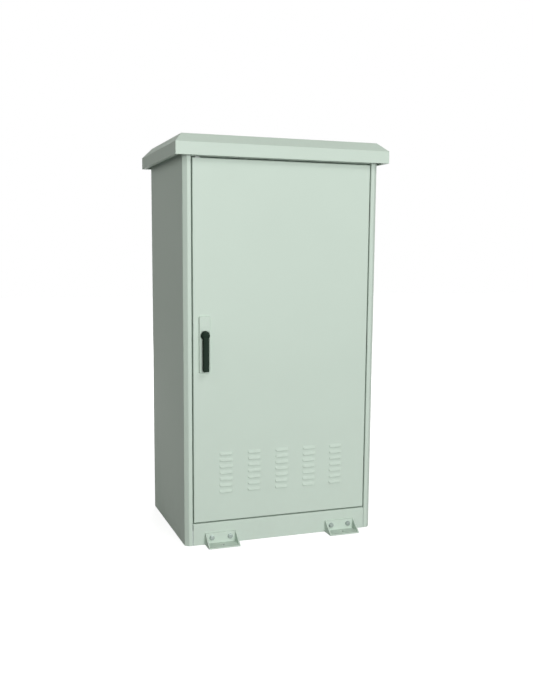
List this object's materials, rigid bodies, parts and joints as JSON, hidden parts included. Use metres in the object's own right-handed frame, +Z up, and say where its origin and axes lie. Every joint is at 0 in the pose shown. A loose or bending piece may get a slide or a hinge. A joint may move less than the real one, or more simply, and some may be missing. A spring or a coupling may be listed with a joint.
{
  "type": "roadside utility cabinet",
  "caption": "Free-standing outdoor cabinet of pale grey-green sheet steel with a hipped rain canopy, a louvred door, a black lift-and-turn handle and anchor brackets",
  "frame": {"origin": "on the ground under the middle of the body", "axes": "+Z is up, +X is to the right as seen from the door side, +Y points from the door to the rear panel"},
  "size_m": [0.705, 0.568, 1.2865],
  "materials": {
    "coat": "satin powder coat",
    "galvanised": "galvanised sheet",
    "fasteners": "zinc plated",
    "lock_steel": "plain plated steel",
    "handle_black": "fine-grained glass-filled plastic",
    "guide_plastic": "plain",
    "seal_rubber": "closed-cell foam and soft rubber",
    "filter_felt": "non-woven pad",
    "bus_copper": "plain copper bar",
    "stand_resin": "cast resin"
  },
  "bodies": {
    "cabinet": {"left_side_wall": "coat", "right_side_wall": "coat", "rear_panel": "coat", "front_plinth": "coat", "front_header": "coat", "top_plate": "coat", "roof_canopy": "coat", "bracket_front_left": "coat", "bracket_front_right": "coat", "bracket_rear_left": "coat", "bracket_rear_right": "coat", "base_frame": "galvanised", "floor_plate": "galvanised", "gland_plate": "galvanised", "rail_front_left": "galvanised", "rail_front_right": "galvanised", "rail_rear_left": "galvanised", "rail_rear_right": "galvanised", "rear_panel_screws": "fasteners", "gland_screws": "fasteners", "rail_screws": "fasteners", "roof_spacers": "fasteners", "roof_bolts": "fasteners", "bracket_bolts": "fasteners", "bracket_nuts": "fasteners", "hinge_screws": "fasteners", "hinge_leaf_low": "lock_steel", "hinge_leaf_mid": "lock_steel", "hinge_leaf_high": "lock_steel", "hinge_pin_low": "lock_steel", "hinge_pin_mid": "lock_steel", "hinge_pin_high": "lock_steel", "cable_grommets": "seal_rubber", "earth_bar": "bus_copper", "earth_bar_stands": "stand_resin"},
    "door": {"door_panel": "coat", "door_stiffener_left": "coat", "door_stiffener_right": "coat", "door_gasket": "seal_rubber", "filter_frame": "galvanised", "filter_pad": "filter_felt", "door_leaf_low": "lock_steel", "door_leaf_mid": "lock_steel", "door_leaf_high": "lock_steel", "lock_escutcheon": "coat", "lock_nut": "fasteners", "rod_guides": "guide_plastic"},
    "handle": {"handle_hub": "handle_black", "crank_plate": "lock_steel", "crank_screw": "fasteners", "lever_pin": "fasteners"},
    "grip": {"lever": "handle_black"},
    "rod_up": {"upper_rod": "lock_steel"},
    "rod_down": {"lower_rod": "lock_steel"}
  },
  "joints": [
    {"name": "door_hinge", "type": "hinge", "parent": "cabinet", "child": "door", "pos_m": [0.2845, -0.226, 0.625], "axis": [0, 0, 1], "range_deg": [0, 105]},
    {"name": "handle_turn", "type": "hinge", "parent": "door", "child": "handle", "pos_m": [-0.2605, -0.2424, 0.676], "axis": [0, -1, 0], "range_deg": [0, 90]},
    {"name": "lever_lift", "type": "hinge", "parent": "handle", "child": "grip", "pos_m": [-0.2605, -0.2537, 0.673], "axis": [-1, 0, 0], "range_deg": [0, 30]},
    {"name": "upper_rod_slide", "type": "slide", "parent": "door", "child": "rod_up", "axis": [0, 0, -1], "range_m": [0, 0.01414]},
    {"name": "lower_rod_slide", "type": "slide", "parent": "door", "child": "rod_down", "axis": [0, 0, 1], "range_m": [0, 0.01414]}
  ],
  "couplings": [
    {"joint": "upper_rod_slide", "follows": "handle_turn", "m_per_rad": 0.0090032},
    {"joint": "lower_rod_slide", "follows": "handle_turn", "m_per_rad": 0.0090032}
  ]
}
